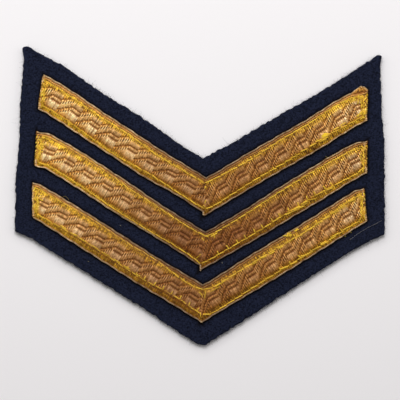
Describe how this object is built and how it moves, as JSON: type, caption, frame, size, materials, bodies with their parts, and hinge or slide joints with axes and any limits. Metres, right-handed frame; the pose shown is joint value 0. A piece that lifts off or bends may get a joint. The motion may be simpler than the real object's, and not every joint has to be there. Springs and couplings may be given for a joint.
{
  "type": "rank chevron patch",
  "caption": "Cloth rank badge with V-shaped bars of woven gold lace sewn to a dark navy wool shield with a notched top.",
  "frame": {"origin": "on the back face, under the middle of the cloth's box", "axes": "+X to the right along the badge's width, +Y up the badge away from the chevrons' points, +Z out of the face"},
  "size_m": [0.1108, 0.0894, 0.003],
  "materials": {
    "navy_cloth": "dark navy melton wool, raw cut edges",
    "gold_lace": "woven gold metal thread lace with a wave pattern",
    "yellow_thread": "glossy yellow sewing thread",
    "loose_fibre": "grey lint and one hair"
  },
  "bodies": {
    "root": {"backing_cloth": "navy_cloth", "upper_chevron": "gold_lace", "middle_chevron": "gold_lace", "lower_chevron": "gold_lace"}
  },
  "joints": []
}
